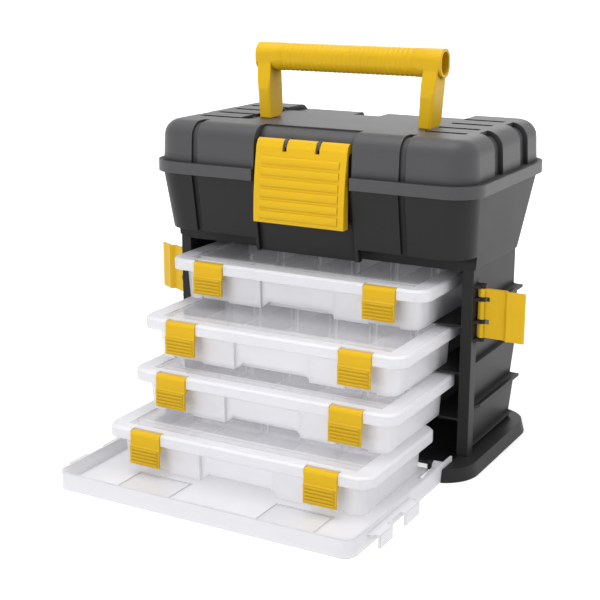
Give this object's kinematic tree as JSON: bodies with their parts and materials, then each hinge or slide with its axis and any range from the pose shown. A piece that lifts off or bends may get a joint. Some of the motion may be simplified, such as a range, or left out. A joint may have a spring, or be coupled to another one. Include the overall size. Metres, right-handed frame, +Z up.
{
  "type": "tool box",
  "caption": "Carrying tool box with a lift-up lid and folding handle over a rack of clear slide-out organiser cases behind a drop-down front door.",
  "frame": {"origin": "centre of the base's underside, on the face that the box stands on", "axes": "+X to the right across the front, +Y from the front to the back, +Z up"},
  "size_m": [0.3238, 0.3167, 0.3045],
  "materials": {
    "charcoal_plastic": "fine grained matt moulding",
    "grey_plastic": "fine grained matt moulding",
    "yellow_plastic": "satin moulding",
    "frosted_plastic": "frosted translucent moulding",
    "clear_plastic": "translucent moulding with a clear window",
    "steel_pin": "plain drawn wire"
  },
  "bodies": {
    "cabinet": {"base": "charcoal_plastic", "side_wall_right": "charcoal_plastic", "side_wall_left": "charcoal_plastic", "back_panel": "charcoal_plastic", "upper_box": "charcoal_plastic", "lid_hinge_pin_left": "steel_pin", "lid_hinge_pin_right": "steel_pin"},
    "box_lid": {"lid": "grey_plastic"},
    "carry_handle": {"handle": "yellow_plastic"},
    "front_latch": {"lid_latch": "yellow_plastic"},
    "side_latch_r": {"side_latch_right": "yellow_plastic"},
    "side_latch_l": {"side_latch_left": "yellow_plastic"},
    "door": {"front_door": "frosted_plastic"},
    "case_1": {"case_1_body": "frosted_plastic", "case_1_dividers": "frosted_plastic"},
    "case_1_cover": {"case_1_lid": "clear_plastic"},
    "case_1_latch_r": {"case_1_latch_right": "yellow_plastic"},
    "case_1_latch_l": {"case_1_latch_left": "yellow_plastic"},
    "case_2": {"case_2_body": "frosted_plastic", "case_2_dividers": "frosted_plastic"},
    "case_2_cover": {"case_2_lid": "clear_plastic"},
    "case_2_latch_r": {"case_2_latch_right": "yellow_plastic"},
    "case_2_latch_l": {"case_2_latch_left": "yellow_plastic"},
    "case_3": {"case_3_body": "frosted_plastic", "case_3_dividers": "frosted_plastic"},
    "case_3_cover": {"case_3_lid": "clear_plastic"},
    "case_3_latch_r": {"case_3_latch_right": "yellow_plastic"},
    "case_3_latch_l": {"case_3_latch_left": "yellow_plastic"},
    "case_4": {"case_4_body": "frosted_plastic", "case_4_dividers": "frosted_plastic"},
    "case_4_cover": {"case_4_lid": "clear_plastic"},
    "case_4_latch_r": {"case_4_latch_right": "yellow_plastic"},
    "case_4_latch_l": {"case_4_latch_left": "yellow_plastic"}
  },
  "joints": [
    {"name": "lid_hinge", "type": "hinge", "parent": "cabinet", "child": "box_lid", "pos_m": [0, 0.0955, 0.2055], "axis": [-1, 0, 0], "range_deg": [0, 100]},
    {"name": "handle_fold", "type": "hinge", "parent": "box_lid", "child": "carry_handle", "pos_m": [0, 0.0075, 0.2538], "axis": [-1, 0, 0], "range_deg": [0, 84]},
    {"name": "front_latch_swing", "type": "hinge", "parent": "box_lid", "child": "front_latch", "pos_m": [0, -0.0644, 0.2369], "axis": [-1, 0, 0], "range_deg": [0, 95]},
    {"name": "side_latch_r_swing", "type": "hinge", "parent": "cabinet", "child": "side_latch_r", "pos_m": [0.1294, -0.0305, 0.1195], "axis": [0, 0, -1], "range_deg": [-60, 90]},
    {"name": "side_latch_l_swing", "type": "hinge", "parent": "cabinet", "child": "side_latch_l", "pos_m": [-0.1294, -0.0305, 0.1195], "axis": [0, 0, 1], "range_deg": [-33, 117]},
    {"name": "door_hinge", "type": "hinge", "parent": "cabinet", "child": "door", "pos_m": [0, -0.0567, 0.0047], "axis": [-1, 0, 0], "range_deg": [0, 0.3]},
    {"name": "case_1_slide", "type": "slide", "parent": "cabinet", "child": "case_1", "axis": [0, 1, 0], "range_m": [-0.092, 0.0246]},
    {"name": "case_1_cover_hinge", "type": "hinge", "parent": "case_1", "child": "case_1_cover", "pos_m": [-0.0023, 0.0319, 0.1322], "axis": [-1, 0, 0], "range_deg": [0, 0.4]},
    {"name": "case_1_latch_r_swing", "type": "hinge", "parent": "case_1_cover", "child": "case_1_latch_r", "pos_m": [0.0703, -0.078, 0.1403], "axis": [-1, 0, 0], "range_deg": [0, 85]},
    {"name": "case_1_latch_l_swing", "type": "hinge", "parent": "case_1_cover", "child": "case_1_latch_l", "pos_m": [-0.0749, -0.078, 0.1403], "axis": [-1, 0, 0], "range_deg": [0, 85]},
    {"name": "case_2_slide", "type": "slide", "parent": "cabinet", "child": "case_2", "axis": [0, 1, 0], "range_m": [-0.0481, 0.0685]},
    {"name": "case_2_cover_hinge", "type": "hinge", "parent": "case_2", "child": "case_2_cover", "pos_m": [0.0009, -0.012, 0.0961], "axis": [-1, 0, 0], "range_deg": [0, 0.4]},
    {"name": "case_2_latch_r_swing", "type": "hinge", "parent": "case_2_cover", "child": "case_2_latch_r", "pos_m": [0.0735, -0.1219, 0.1042], "axis": [-1, 0, 0], "range_deg": [0, 85]},
    {"name": "case_2_latch_l_swing", "type": "hinge", "parent": "case_2_cover", "child": "case_2_latch_l", "pos_m": [-0.0717, -0.1219, 0.1042], "axis": [-1, 0, 0], "range_deg": [0, 85]},
    {"name": "case_3_slide", "type": "slide", "parent": "cabinet", "child": "case_3", "axis": [0, 1, 0], "range_m": [-0.0315, 0.0851]},
    {"name": "case_3_cover_hinge", "type": "hinge", "parent": "case_3", "child": "case_3_cover", "pos_m": [0.0027, -0.0286, 0.06], "axis": [-1, 0, 0], "range_deg": [0, 0.4]},
    {"name": "case_3_latch_r_swing", "type": "hinge", "parent": "case_3_cover", "child": "case_3_latch_r", "pos_m": [0.0753, -0.1385, 0.0681], "axis": [-1, 0, 0], "range_deg": [0, 85]},
    {"name": "case_3_latch_l_swing", "type": "hinge", "parent": "case_3_cover", "child": "case_3_latch_l", "pos_m": [-0.0699, -0.1385, 0.0681], "axis": [-1, 0, 0], "range_deg": [0, 85]},
    {"name": "case_4_slide", "type": "slide", "parent": "cabinet", "child": "case_4", "axis": [0, 1, 0], "range_m": [-0.003, 0.1136]},
    {"name": "case_4_cover_hinge", "type": "hinge", "parent": "case_4", "child": "case_4_cover", "pos_m": [-0.0013, -0.0571, 0.0239], "axis": [-1, 0, 0], "range_deg": [0, 0.4]},
    {"name": "case_4_latch_r_swing", "type": "hinge", "parent": "case_4_cover", "child": "case_4_latch_r", "pos_m": [0.0713, -0.167, 0.032], "axis": [-1, 0, 0], "range_deg": [0, 85]},
    {"name": "case_4_latch_l_swing", "type": "hinge", "parent": "case_4_cover", "child": "case_4_latch_l", "pos_m": [-0.0739, -0.167, 0.032], "axis": [-1, 0, 0], "range_deg": [0, 85]}
  ]
}
